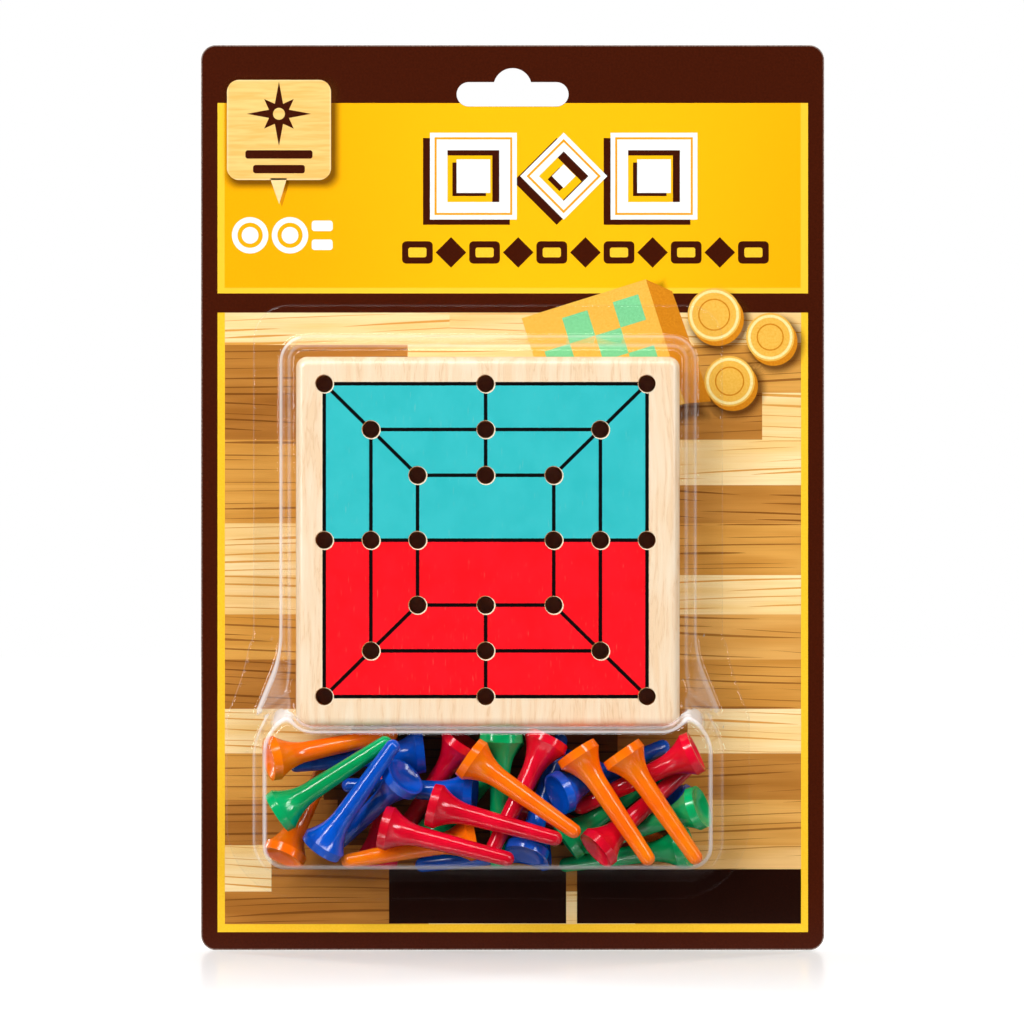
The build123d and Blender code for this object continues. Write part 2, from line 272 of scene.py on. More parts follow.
FLOOR_REACH = 3000
FLOOR_Z = CARD_BOTTOM - 0.2
floor_corners = [(FLOOR_REACH * side_x, FLOOR_REACH * side_y, FLOOR_Z)
                 for side_x, side_y in ((-1, 1), (1, 1), (1, -1), (-1, -1))]
floor = mesh_object("floor", floor_corners, [(0, 1, 2, 3)], [floor_material])

# ---------------------------------------------------------------- card
CARD_HALF = cad_high.x / MM
CARD_TOP = cad_high.z / MM
CARD_BACK = cad_high.y / MM
CARD_CORNER = 4.2
PRINT_SPECULAR = 0.15
PRINT_ROUGHNESS = 0.28


def dress(node, material):
    """Gives one of the CAD's own pieces its material."""
    node.data.materials.clear()
    node.data.materials.append(material)


def card_material():
    """Dark printed front, pale cut edges of paperboard and a plain grey-white back."""
    material = new_material("card_print")
    g = Graph(material.node_tree)
    x, y, z = g.point()
    fibres = g.noise(g.vector(x, y, z), 1.6, 4, 0.6)
    middle, half_height = (CARD_TOP + CARD_BOTTOM) / 2, (CARD_TOP - CARD_BOTTOM) / 2
    past_x = g.minus(g.absolute(x), CARD_HALF - CARD_CORNER)
    past_z = g.minus(g.absolute(g.minus(z, middle)), half_height - CARD_CORNER)
    out_x, out_z = g.larger(past_x, 0), g.larger(past_z, 0)
    corner = g.length(out_x, out_z)
    inner = g.smaller(g.larger(past_x, past_z), 0)
    edge = g.minus(CARD_CORNER, g.plus(corner, inner))  # how far in from the card's outline
    # Paler, in patches, within about 0.4 mm of the card's outline.
    pale_rim = g.times(g.ramp(edge, 0.42, 0.2), g.ramp(fibres, 0.35, 0.65, 0.25, 0.6))
    front = g.mix(g.ramp(fibres, 0.3, 0.7), rgb("3C1103"), rgb("481705"))
    front = g.mix(pale_rim, front, rgb("B9A79B"))
    core = g.mix(g.noise(g.vector(x, g.times(y, 14), z), 0.9, 3), rgb("C9C3BA"), rgb("E9E5DD"))
    back = g.mix(g.ramp(fibres, 0.35, 0.7), rgb("DAD5CB"), rgb("E6E2D9"))
    speck = g.ramp(g.noise(g.vector(x, y, z), 3.2, 1), 0.7, 0.76)
    back = g.mix(g.times(speck, 0.25), back, rgb("8B7F70"))
    colour = g.mix(g.ramp(y, 0.02, 0.06), front, core)
    colour = g.mix(g.ramp(y, CARD_BACK - 0.06, CARD_BACK - 0.02), colour, back)
    roughness = g.ramp(y, 0.02, 0.1, PRINT_ROUGHNESS, 0.85)
    g.surface(colour, roughness, g.bump(fibres, 0.02, 0.5), Specular_IOR_Level=PRINT_SPECULAR)
    return material


dress(nodes["backing_card"], card_material())

# ---------------------------------------------------------------- what is printed on the card
LAYER = 0.009  # the print is built up in layers this far apart


def box_outline(x0, z0, x1, z1):
    return [(x0, z0), (x1, z0), (x1, z1), (x0, z1)]


def disc_outline(x, z, radius, sides=56):
    """Points round a circle."""
    points = []
    for k in range(sides):
        a = 2 * math.pi * k / sides
        points.append((x + radius * math.cos(a), z + radius * math.sin(a)))
    return points


def round_outline(x0, z0, x1, z1, radius, steps=8):
    """A rectangle with round corners."""
    points = []
    for cx, cz, start in ((x1 - radius, z1 - radius, 0), (x0 + radius, z1 - radius, 90),
                          (x0 + radius, z0 + radius, 180), (x1 - radius, z0 + radius, 270)):
        for k in range(steps + 1):
            a = math.radians(start + 90 * k / steps)
            points.append((cx + radius * math.cos(a), cz + radius * math.sin(a)))
    return points


def turned_box(x, z, half_x, half_z, angle):
    """A rectangle about its centre, turned by an angle in degrees."""
    a = math.radians(angle)
    return [(x + u * math.cos(a) - v * math.sin(a), z + u * math.sin(a) + v * math.cos(a))
            for u, v in box_outline(-half_x, -half_z, half_x, half_z)]


def grown(outline, distance):
    """An outline about its middle, made larger or smaller by roughly a distance."""
    cx = sum(p[0] for p in outline) / len(outline)
    cz = sum(p[1] for p in outline) / len(outline)
    points = []
    for x, z in outline:
        far = math.hypot(x - cx, z - cz)
        points.append((cx + (x - cx) * (far + distance) / far, cz + (z - cz) * (far + distance) / far))
    return points


def shifted(outline, dx, dz):
    return [(x + dx, z + dz) for x, z in outline]


class Print:
    """Flat inked shapes gathered into one piece."""

    def __init__(self, name):
        self.name, self.points, self.faces = name, [], []
        self.inks, self.which, self.values = [], [], []

    def add(self, outline, layer, ink, hole=None, value=0.0, hole_value=None):
        """A filled outline, or with a hole of as many points the band between the two."""
        if ink not in self.inks:
            self.inks.append(ink)
        start, count = len(self.points), len(outline)
        depth = 0.01 + layer * LAYER
        self.points += [(x, depth, z) for x, z in outline]
        self.values += [value] * count
        if hole is None:
            made = [tuple(range(start, start + count))]
        else:
            self.points += [(x, depth, z) for x, z in hole]
            self.values += [value if hole_value is None else hole_value] * count
            made = [(start + k, start + (k + 1) % count, start + count + (k + 1) % count, start + count + k)
                    for k in range(count)]
        self.faces += made
        self.which += [self.inks.index(ink)] * len(made)

    def shadow(self, outline, layer, ink, spread):
        """A shadow that fades out over spread beyond the outline."""
        self.add(outline, layer, ink, value=1.0)
        self.add(grown(outline, spread), layer, ink, hole=outline, value=0.0, hole_value=1.0)

    def make(self):
        piece = mesh_object(self.name, self.points, self.faces, self.inks)
        piece.data.polygons.foreach_set("material_index", self.which)
        shade = piece.data.attributes.new("shade", "FLOAT", "POINT")
        shade.data.foreach_set("value", self.values)
        made = bmesh.new()
        made.from_mesh(piece.data)
        for face in made.faces:  # all look to the front
            face.normal_update()
            if face.normal.y > 0:
                face.normal_flip()
        made.to_mesh(piece.data)
        made.free()
        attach(piece, "card")
        return piece


def paper_mottle(g):
    """The paper's faint unevenness, which shows in colour and relief."""
    return g.noise(g.vector(*g.point()), 1.7, 4, 0.6)


def print_surface(g, colour, relief=None):
    """The sheen of printed ink, with the paper's relief where one is given."""
    normal = None if relief is None else g.bump(relief, 0.02, 0.5)
    g.surface(colour, PRINT_ROUGHNESS, normal, Specular_IOR_Level=PRINT_SPECULAR)


def ink(name, code, other=None):
    """Printed ink: a flat colour with the paper's faint mottle in it."""
    material = new_material(name)
    g = Graph(material.node_tree)
    mottle = paper_mottle(g)
    colour = g.mix(g.ramp(mottle, 0.3, 0.7), rgb(code), rgb(other or code))
    print_surface(g, colour, mottle)
    return material


HEADER_X = 14.0  # the yellow is lightest here
HEADER_EDGE_X = 82.3  # where its lighter edges begin
HEADER_EDGE_Z = -55.3


def header_ink():
    """Yellow, deeper towards the sides, with a lighter band round the edge."""
    material = new_material("print_yellow")
    g = Graph(material.node_tree)
    x, y, z = g.point()
    mottle = paper_mottle(g)
    away = g.absolute(g.minus(x, HEADER_X))
    deep = g.ramp(g.math("MULTIPLY_ADD", z, -0.25, away), 22.0, 98.0)
    colour = g.mix(deep, rgb("FFBE0C"), rgb("FCAE03"))
    colour = g.mix(g.times(g.ramp(mottle, 0.35, 0.7), 0.3), colour, rgb("FCB808"))
    side = g.ramp(g.absolute(x), HEADER_EDGE_X - 0.1, HEADER_EDGE_X + 0.1)
    foot = g.ramp(z, HEADER_EDGE_Z + 0.1, HEADER_EDGE_Z - 0.1)
    colour = g.mix(g.larger(side, foot), colour, rgb("FFCB34"))
    print_surface(g, colour, mottle)
    return material


def shade_ink(code, strength):
    """A printed soft shadow, as dark as each point's shade says."""
    material = new_material("print_shadow")
    g = Graph(material.node_tree)
    share = g.times(g.math("POWER", g.attribute("shade"), 1.6), strength)
    dark = g.node("ShaderNodeBsdfPrincipled", {"Base Color": rgb(code), "Roughness": PRINT_ROUGHNESS,
                                               "Specular IOR Level": PRINT_SPECULAR})
    clear = g.node("ShaderNodeBsdfTransparent")
    g.output(g.node("ShaderNodeMixShader", {0: share, 1: clear.outputs[0], 2: dark.outputs[0]}).outputs[0])
    return material


# The last tone is painted shade: near-black boards behind the pegs stand in for the shade between them.
LIGHT, MID, DARK, SHADE_TONE = 0.0, 0.5, 1.0, 2.0  # a board's tone


def plank_ink():
    """Printed boards with a faint grain along X. Each has its tone and seed as attributes; the darkest tone
    is painted shade.
    """
    material = new_material("print_planks")
    g = Graph(material.node_tree)
    x, y, z = g.point()
    tone = g.attribute("shade")
    seed = g.times(g.attribute("seed"), 40.0)
    broad = g.noise(g.vector(g.times(x, 0.02), g.times(z, 0.2), seed), 1, 2, 0.5)
    fine = g.noise(g.vector(g.times(x, 0.06), g.times(z, 3.2), seed), 1, 3, 0.6)
    light = g.mix(g.ramp(broad, 0.3, 0.7), rgb("FFE3AB"), rgb("F8D087"))
    middle = g.mix(g.ramp(broad, 0.3, 0.7), rgb("E2A650"), rgb("D0903C"))
    dark = g.mix(g.ramp(broad, 0.3, 0.7), rgb("C08038"), rgb("A86A28"))
    body = g.mix(g.ramp(tone, LIGHT, MID), light, middle)
    body = g.mix(g.ramp(tone, MID, DARK), body, dark)
    # Painted shade: the darkest boards, behind the pegs.
    body = g.mix(g.ramp(tone, DARK, SHADE_TONE), body, rgb("5A3312"))
    streak = g.mix(g.smaller(tone, 1.0), rgb("E2A44E"), rgb("8A5520"))
    colour = g.mix(g.times(g.ramp(fine, 0.42, 0.75), 0.22), body, streak)
    print_surface(g, colour, paper_mottle(g))
    return material


def grain_ink():
    """The darker strokes of the boards' grain, by the board's tone."""
    material = new_material("print_grain")
    g = Graph(material.node_tree)
    tone = g.attribute("shade")
    colour = g.mix(g.ramp(tone, LIGHT, MID), rgb("DFA04A"), rgb("9C6428"))
    colour = g.mix(g.ramp(tone, MID, DARK), colour, rgb("844E1A"))
    # Painted shade: the grain of the darkest boards, behind the pegs.
    colour = g.mix(g.ramp(tone, DARK, SHADE_TONE), colour, rgb("3A1E0A"))
    print_surface(g, colour)
    return material


dark_brown = ink("print_brown", "3A1003", "451504")
white = ink("print_white", "FDFDFB", "F6F5F1")
orange = ink("print_orange", "FDA908", "F7A004")
yellow = ink("print_gold", "FFCC34", "FBC328")
shadow_ink = shade_ink("5A2A08", 0.6)

# The header, its upper edge notched by the hang slot.
PANEL_LEFT, PANEL_RIGHT, PANEL_TOP, PANEL_FOOT = -84.3, 84.4, -2.5, -56.9
SLOT_END, SLOT_RADIUS = 12.5, 3.55
NOTCH_START, NOTCH_END, NOTCH_STEPS = -45.6, -90.0, 8  # degrees round the slot's end
header = Print("print_header")
notch = []
for k in range(NOTCH_STEPS + 1):
    a = math.radians(NOTCH_START + (NOTCH_END - NOTCH_START) * k / NOTCH_STEPS)
    notch.append((SLOT_END + SLOT_RADIUS * math.cos(a), SLOT_RADIUS * math.sin(a)))
header_outline = [(PANEL_LEFT, PANEL_TOP), (PANEL_LEFT, PANEL_FOOT),
                  (PANEL_RIGHT, PANEL_FOOT), (PANEL_RIGHT, PANEL_TOP)]
header_outline += notch + [(-x, z) for x, z in reversed(notch)]
header.add(header_outline, 0, header_ink())
header.make()

# The lower panel: a yellow frame and boards in rows. Each row gives its foot and its boards' ends and tones.
LOWER_TOP, LOWER_FOOT = -62.4, -239.4
PLANK_LEFT, PLANK_RIGHT, PLANK_FOOT = -82.2, 82.4, -237.1
border = Print("print_frame")
border.add(box_outline(PANEL_LEFT, LOWER_FOOT, PANEL_RIGHT, LOWER_TOP), 0, yellow)
border.make()
plank_rows = [
    (-71.6, [(-18, LIGHT), (PLANK_RIGHT, 0.1)]),
    (-85.3, [(-30, 0.85), (10, LIGHT), (PLANK_RIGHT, 0.6)]),
    (-98.7, [(-12, DARK), (30, LIGHT), (71.3, 0.85), (PLANK_RIGHT, LIGHT)]),
    (-111.7, [(-45, MID), (5, DARK), (PLANK_RIGHT, LIGHT)]),
    (-122.6, [(-20, MID), (22, LIGHT), (PLANK_RIGHT, 0.8)]),
    (-137.4, [(-38, 0.1), (15, MID), (PLANK_RIGHT, 0.55)]),
    (-148.6, [(8, 0.15), (44, DARK), (PLANK_RIGHT, LIGHT)]),
    (-161.5, [(-26, MID), (28, LIGHT), (PLANK_RIGHT, 0.4)]),
    (-175.6, [(-44, 0.95), (12, MID), (PLANK_RIGHT, 0.65)]),
    # The boards with the shade tone lie behind the pegs and are painted shade.
    (-188.3, [(-46, 0.05), (30, SHADE_TONE), (50, DARK), (PLANK_RIGHT, LIGHT)]),
    (-201.6, [(-54, MID), (44, SHADE_TONE), (PLANK_RIGHT, 0.85)]),
    (-214.6, [(-50, DARK), (47, SHADE_TONE), (PLANK_RIGHT, 0.42)]),
    (-227.8, [(-68.9, LIGHT), (-20, 0.95), (40, DARK), (PLANK_RIGHT, 0.3)]),
    (PLANK_FOOT, [(-24, DARK), (35, LIGHT), (PLANK_RIGHT, MID)]),
]
planks = Print("print_planks")
plank_colour = plank_ink()
seeds = []
grain = Print("print_grain")
grain_colour = grain_ink()
random = np.random.default_rng(9)


def draw_grain(left, right, foot, top, tone):
    """Long thin strokes along a board, pointed where they end inside it."""
    slope, bow = random.uniform(-0.06, 0.06), random.uniform(-0.0008, 0.0008)
    count = max(2, round((top - foot) / 2.5))
    for k in range(count):
        middle = foot + (top - foot) * (k + 0.5 + random.uniform(-0.3, 0.3)) / count
        start = left - random.uniform(0, 25)
        while start < right:
            length, half = random.uniform(22, 66), 0.1 + 0.3 * random.uniform(0, 1) ** 2
            x0, x1 = max(start, left), min(start + length, right)
            if x1 - x0 > 4:
                along = np.linspace(x0, x1, 12)
                centre = middle + slope * (along - (left + right) / 2)
                centre += bow * (along - start - length / 2) ** 2
                centre = np.clip(centre, foot + 0.35, top - 0.35)
                width = half * np.sin(np.pi * np.clip((along - start) / length, 0.004, 0.996)) ** 0.7
                edge = list(zip(along, centre - width)) + list(zip(along[::-1], (centre + width)[::-1]))
                grain.add([(float(px), float(pz)) for px, pz in edge], 2, grain_colour, value=tone)
            start += length + random.uniform(3, 18)


row_top = LOWER_TOP
for row_foot, boards in plank_rows:
    left = PLANK_LEFT
    for right, tone in boards:
        planks.add(box_outline(left, row_foot, right, row_top), 1, plank_colour, value=tone)
        seeds += [(len(seeds) * 0.618) % 1.0] * 4  # one for each corner
        draw_grain(left, right, row_foot, row_top, tone)
        left = right
    row_top = row_foot
planks_piece = planks.make()
seed_values = planks_piece.data.attributes.new("seed", "FLOAT", "POINT")
seed_values.data.foreach_set("value", seeds)
grain.make()

# A wooden tag with a star, in the upper left corner.
TAG_LEFT, TAG_RIGHT, TAG_TOP, TAG_FOOT = -81.6, -51.9, 4.1, -24.5
TAG_X = (TAG_LEFT + TAG_RIGHT) / 2
STAR_Z = -5.6
STAR_RADII = (9.2, 3.1, 6.0, 3.1)  # long point, notch, short point, notch
STAR_CORNERS = 4 * len(STAR_RADII)


def tag_material():
    """Light wood with a paler rim."""
    material = new_material("print_tag_wood")
    g = Graph(material.node_tree)
    x, y, z = g.point()
    fibres = g.noise(g.vector(g.times(x, 0.06), y, g.times(z, 0.7)), 1, 3, 0.6, 0.4)
    colour = g.mix(g.ramp(fibres, 0.3, 0.7), rgb("FBD07F"), rgb("F3BC64"))
    rim_x = g.ramp(g.absolute(g.minus(x, TAG_X)), 14.2, 14.85)
    rim_z = g.ramp(g.absolute(g.minus(z, (TAG_TOP + TAG_FOOT) / 2)), 13.6, 14.3)
    colour = g.mix(g.times(g.larger(rim_x, rim_z), 0.55), colour, rgb("FFE9B4"))
    print_surface(g, colour)
    return material


tag = Print("print_tag")
tag_box = round_outline(TAG_LEFT, TAG_FOOT, TAG_RIGHT, TAG_TOP, 3.4)
tag_tail = [(-69.3, TAG_FOOT + 0.5), (-66.7, -31.4), (-64.5, TAG_FOOT + 0.5)]
tag_wood = tag_material()
tag.shadow(shifted(tag_box, 0.9, -0.9), 1, shadow_ink, 3.2)
tag.add(shifted(tag_tail, 0.8, -0.8), 1, ink("print_amber_shade", "D98A08"))
tag.add(tag_box, 2, tag_wood)
tag.add(tag_tail, 2, tag_wood)
star = []
for k in range(STAR_CORNERS):
    radius = STAR_RADII[k % len(STAR_RADII)]
    a = math.pi / 2 + 2 * math.pi * k / STAR_CORNERS
    star.append((TAG_X + radius * math.cos(a), STAR_Z + radius * math.sin(a)))
tag.add(star, 3, dark_brown)
tag.add(disc_outline(TAG_X, STAR_Z, 1.7, 28), 4, tag_wood)
for bar_z, bar_half in ((-17.2, 9.6), (-21.4, 7.4)):
    bar = round_outline(TAG_X - bar_half, bar_z - 1.2, TAG_X + bar_half, bar_z + 1.2, 0.7, 4)
    tag.add(bar, 3, dark_brown)
tag.make()

# The ornament in the header: three white frames with a brown shadow and an orange line, over a row of
# small lozenges and boxes.
ornament = Print("print_ornament")
FIGURE_Z = -23.4
ROW_X, ROW_Z, ROW_STEP, ROW_COUNT = -27.2, -45.2, 9.6, 11


def figure(cx, half, turn, band):
    """A square frame round a smaller square."""

    def square(reach):
        return turned_box(cx, FIGURE_Z, reach, reach, turn)

    sides, inner = square(half), square(half - band)
    for dx, dz, layer, colour in ((-2.0, -1.5, 1, dark_brown), (0, 0, 2, white)):
        ornament.add(shifted(sides, dx, dz), layer, colour, hole=shifted(inner, dx, dz))
    ornament.add(square(half - 1.3), 3, orange, hole=square(half - 1.9))
    core = square(half - band - 2.6)
    ornament.add(shifted(core, -1.2, -0.9), 1, dark_brown)
    ornament.add(core, 2, white)


def row_box(cx, half_x, half_z, radius):
    return round_outline(cx - half_x, ROW_Z - half_z, cx + half_x, ROW_Z + half_z, radius, 4)


figure(-11.2, 12.4, 0, 5.0)
figure(14.6, 8.8, 45, 3.8)
figure(40.4, 12.4, 0, 5.0)
for k in range(ROW_COUNT):
    cx = ROW_X + k * ROW_STEP
    if k % 2:
        ornament.add(turned_box(cx, ROW_Z, 3.1, 3.1, 45), 1, dark_brown)
    else:
        ornament.add(row_box(cx, 4.4, 3.2, 1.2), 1, dark_brown)
        ornament.add(row_box(cx, 2.6, 1.4, 0.6), 2, yellow)
ornament.make()

# Two white dots, each in a ring, and two bars, below the tag.
counters = Print("print_counters")
COUNTER_Z = -40.3
for cx in (-75.0, -63.6):
    counters.add(disc_outline(cx, COUNTER_Z, 5.2), 1, white, hole=disc_outline(cx, COUNTER_Z, 3.6))
    counters.add(disc_outline(cx, COUNTER_Z, 2.4), 1, white)
for bar_z in (COUNTER_Z + 2.7, COUNTER_Z - 2.7):
    counters.add(round_outline(-57.4, bar_z - 1.5, -51.4, bar_z + 1.5, 0.8, 4), 1, white)
counters.make()

# A chequered box lid, half behind the blister, and three golden counters.
art = Print("print_picture")
green = ink("print_green", "84D79C", "74CB8E")
gold_light = ink("print_gold_light", "FBE7A4", "F6DC8C")
gold_mid = ink("print_gold_mid", "F2BE52", "EBB041")
gold_dark = ink("print_gold_dark", "D98A1C", "CC7C14")
LID_X, LID_Z, LID_HALF, LID_TURN = 25.9, -76.2, 18.6, 17.4
LID_MARGIN, LID_CELLS = 3.4, 4
lid_box = turned_box(LID_X, LID_Z, LID_HALF, LID_HALF, LID_TURN)
lean = math.radians(LID_TURN)
art.shadow(shifted(lid_box, 4.0, -2.5), 3, shadow_ink, 4.0)
(foot_x, foot_z), (top_x, top_z) = lid_box[1], lid_box[2]
lid_side = [(foot_x, foot_z), (foot_x + 7.5, foot_z + 0.6), (top_x + 7.5, top_z - 3.4), (top_x, top_z)]
art.add(lid_side, 4, gold_dark)
art.add(lid_box, 5, gold_mid)
cell = 2 * (LID_HALF - LID_MARGIN) / LID_CELLS
for i in range(LID_CELLS):
    for k in range(LID_CELLS):
        if (i + k) % 2 == 0:
            u, v = (i - (LID_CELLS - 1) / 2) * cell, (k - (LID_CELLS - 1) / 2) * cell
            cx = LID_X + u * math.cos(lean) - v * math.sin(lean)
            cz = LID_Z + u * math.sin(lean) + v * math.cos(lean)
            art.add(turned_box(cx, cz, cell / 2, cell / 2, LID_TURN), 6, green)
for cx, cz, radius in ((57.6, -63.0, 7.6), (73.6, -69.4, 6.9), (62.0, -82.0, 7.2)):
    art.shadow(disc_outline(cx + 1.6, cz - 2.0, radius), 3, shadow_ink, 2.6)
    art.add(disc_outline(cx + 0.9, cz - 1.3, radius), 5, gold_dark)
    art.add(disc_outline(cx, cz, radius), 6, gold_mid)
    for outer, inner, colour in ((0.5, 1.3, gold_light), (3.0, 3.4, gold_dark)):
        art.add(disc_outline(cx, cz, radius - outer), 7, colour, hole=disc_outline(cx, cz, radius - inner))
art.make()

# Two dark fields at the foot, left bare.
fields = Print("print_fields")
field_ink = ink("print_field", "1A0602", "220903")
FIELD_TOP, FIELD_FOOT = -221.4, -236.9
for x0, x1 in ((-35.3, 15.3), (18.4, PLANK_RIGHT)):
    fields.add(box_outline(x0, FIELD_FOOT, x1, FIELD_TOP), 3, field_ink)
fields.make()

# ---------------------------------------------------------------- board
BOARD_LOW, BOARD_HIGH = (Vector(corner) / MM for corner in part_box("game_board"))
BOARD_X = (BOARD_LOW.x + BOARD_HIGH.x) / 2
BOARD_Z = (BOARD_LOW.z + BOARD_HIGH.z) / 2
BOARD_FRONT = -BOARD_LOW.y
FIELD_X = BOARD_X - 0.6  # the printed and drilled field's centre
FIELD_Z = BOARD_Z + 0.5
RING_X = [19.2, 32.35, 45.5]
RING_Z = [18.3, 31.2, 44.1]
HOLE_RADIUS = 2.45
HOLE_DEPTH = 12.0
LINE = 0.52  # half the width of a printed line
LINE_EDGE = 0.06  # half the width of its soft edge


def board_material():
    """Pale softwood, printed with the two coloured halves of the field and its black lines."""
    material = new_material("board_wood")
    g = Graph(material.node_tree)
    x, y, z = g.point()
    depth = g.times(y, -1)
    sway = g.noise(g.vector(g.times(x, 0.05), g.times(y, 0.05), g.times(z, 0.012)), 1, 2)
    across = g.math("MULTIPLY_ADD", sway, 14.0, x)
    rings = g.noise(g.vector(g.times(across, 0.42), g.times(y, 0.3), g.times(z, 0.035)), 1, 3, 0.6)
    pores = g.noise(g.vector(g.times(x, 3.4), g.times(y, 3.4), g.times(z, 0.22)), 1, 2)
    wood = g.mix(g.ramp(rings, 0.3, 0.68), rgb("FFE9CA"), rgb("FBD9B0"))
    wood = g.mix(g.times(g.ramp(pores, 0.6, 0.75), 0.35), wood, rgb("D9A96E"))
    dark_line = g.ramp(g.absolute(g.minus(rings, 0.56)), 0.02, 0.0)
    wood = g.mix(g.times(dark_line, 0.3), wood, rgb("DDA870"))

    wobble = g.times(g.minus(g.noise(g.vector(x, 0, z), 1.5, 2), 0.5), 0.16)
    u = g.absolute(g.minus(x, FIELD_X))
    v_signed = g.minus(z, FIELD_Z)
    v = g.absolute(v_signed)
    half = g.plus(wobble, LINE)

    def below(value, limit):
        return g.ramp(g.minus(value, limit), LINE_EDGE, -LINE_EDGE)

    def stroke(distance):
        return below(distance, half)

    def most(*masks):
        return functools.reduce(g.larger, masks)

    def all_of(*masks):
        return functools.reduce(g.times, masks)

    frames = [stroke(g.absolute(g.larger(g.minus(u, ring_x), g.minus(v, ring_z))))
              for ring_x, ring_z in zip(RING_X, RING_Z)]
    run_x, run_z = RING_X[2] - RING_X[0], RING_Z[2] - RING_Z[0]
    length = math.hypot(run_x, run_z)
    cross = g.minus(g.times(g.minus(u, RING_X[0]), run_z / length),
                    g.times(g.minus(v, RING_Z[0]), run_x / length))
    in_ring = all_of(below(g.times(u, -1), -RING_X[0]), below(u, RING_X[2]))
    diagonals = all_of(stroke(g.absolute(cross)), in_ring)
    outer_v = all_of(below(g.times(v, -1), -RING_Z[0]), below(v, RING_Z[2]))
    uprights = all_of(stroke(u), outer_v)
    middle = all_of(stroke(v), below(u, RING_X[2]))
    lines = most(*frames, diagonals, uprights, middle)
    inside = all_of(below(u, RING_X[2]), below(v, RING_Z[2]))

    patch = g.noise(g.vector(x, 0, z), 0.12, 3, 0.6)
    fine = g.noise(g.vector(g.times(x, 2.2), 0, g.times(z, 0.25)), 1, 2)
    teal = g.mix(g.ramp(patch, 0.35, 0.7), rgb("39C4C8"), rgb("31BEC2"))
    red = g.mix(g.ramp(patch, 0.35, 0.7), rgb("FF1423"), rgb("FA0E1C"))
    paint = g.mix(g.ramp(v_signed, -0.05, 0.05), red, teal)
    paint = g.mix(g.times(g.ramp(fine, 0.62, 0.8), 0.10), paint, wood)
    printed = g.mix(inside, wood, paint)
    printed = g.mix(lines, printed, rgb("040303"))

    def nearest_hole(shift):
        """Distance to the nearest hole's centre, with every centre shifted to the lower right."""
        u = g.absolute(g.minus(x, FIELD_X + shift))
        v = g.absolute(g.minus(z, FIELD_Z - shift))
        distances = [g.length(g.minus(u, hole_x), g.minus(v, hole_z))
                     for ring_x, ring_z in zip(RING_X, RING_Z)
                     for hole_x, hole_z in ((ring_x, ring_z), (ring_x, 0), (0, ring_z))]
        return functools.reduce(g.smaller, distances)

    nearest = nearest_hole(0)
    ragged = g.math("MULTIPLY_ADD", g.noise(g.vector(x, 0, z), 2.2, 2), 0.3, HOLE_RADIUS + 0.02)
    # Each hole's ragged edge is brown, with a pale crescent of bare wood on its lower right. The crescent is
    # painted light: it is only on that side because that side catches the light.
    printed = g.mix(g.ramp(g.minus(nearest, ragged), 0.05, -0.05), printed, rgb("B07A45"))
    lit_rim = g.ramp(g.minus(nearest_hole(0.14), ragged), 0.05, -0.05)
    printed = g.mix(lit_rim, printed, rgb("FBE6C4"))
    on_front = g.ramp(depth, BOARD_FRONT - 0.12, BOARD_FRONT - 0.04)
    colour = g.mix(on_front, wood, printed)
    bore = all_of(g.ramp(nearest, HOLE_RADIUS + 0.3, HOLE_RADIUS + 0.1),
                  g.ramp(depth, BOARD_FRONT - 0.15, BOARD_FRONT - 0.9),
                  g.ramp(depth, BOARD_FRONT - HOLE_DEPTH - 1.0, BOARD_FRONT - HOLE_DEPTH - 0.5))
    # The holes' insides are orange-brown, darker than the face.
    bore_brown = g.mix(g.noise(g.vector(x, y, z), 1.2, 3), rgb("E09848"), rgb("BC7634"))
    colour = g.mix(bore, colour, bore_brown)
    inked = all_of(on_front, most(inside, lines))
    roughness = g.ramp(inked, 0, 1, 0.27, 0.42)
    gloss = g.ramp(inked, 0, 1, 0.85, 0.12)
    relief = g.plus(g.times(pores, 0.5), rings)
    g.surface(colour, roughness, g.bump(relief, 0.04, 0.5), Specular_IOR_Level=gloss)
    return material


dress(nodes["game_board"], board_material())

# ---------------------------------------------------------------- pegs
PEG_COLOURS = {
    "orange": ("FF7E00", "FF6A00"),
    "green": ("00AE64", "009650"),
    "blue": ("0055CC", "0041A8"),
    "red": ("EA062C", "CC0320"),
}


def peg_material(name, light, deep):
    """Glossy moulded plastic, with faint flow marks and handling scuffs."""
    material = new_material(name)
    g = Graph(material.node_tree)
    x, y, z = g.point()
    flow = g.noise(g.vector(x, y, z), 0.09, 3, 0.55, 0.6)
    scuff = g.noise(g.vector(x, y, z), 0.9, 5, 0.65)
    colour = g.mix(g.ramp(flow, 0.35, 0.68), rgb(light), rgb(deep))
    roughness = g.ramp(scuff, 0.35, 0.75, 0.11, 0.2)
    wave = g.math("MULTIPLY_ADD", scuff, 0.1, flow)
    g.surface(colour, roughness, g.bump(wave, 0.015, 0.2), IOR=1.56)
    return material


for peg_colour, shades in PEG_COLOURS.items():
    plastic = peg_material("peg_" + peg_colour, *shades)
    for node_name, node in nodes.items():
        if node_name.startswith("peg_" + peg_colour):
            dress(node, plastic)

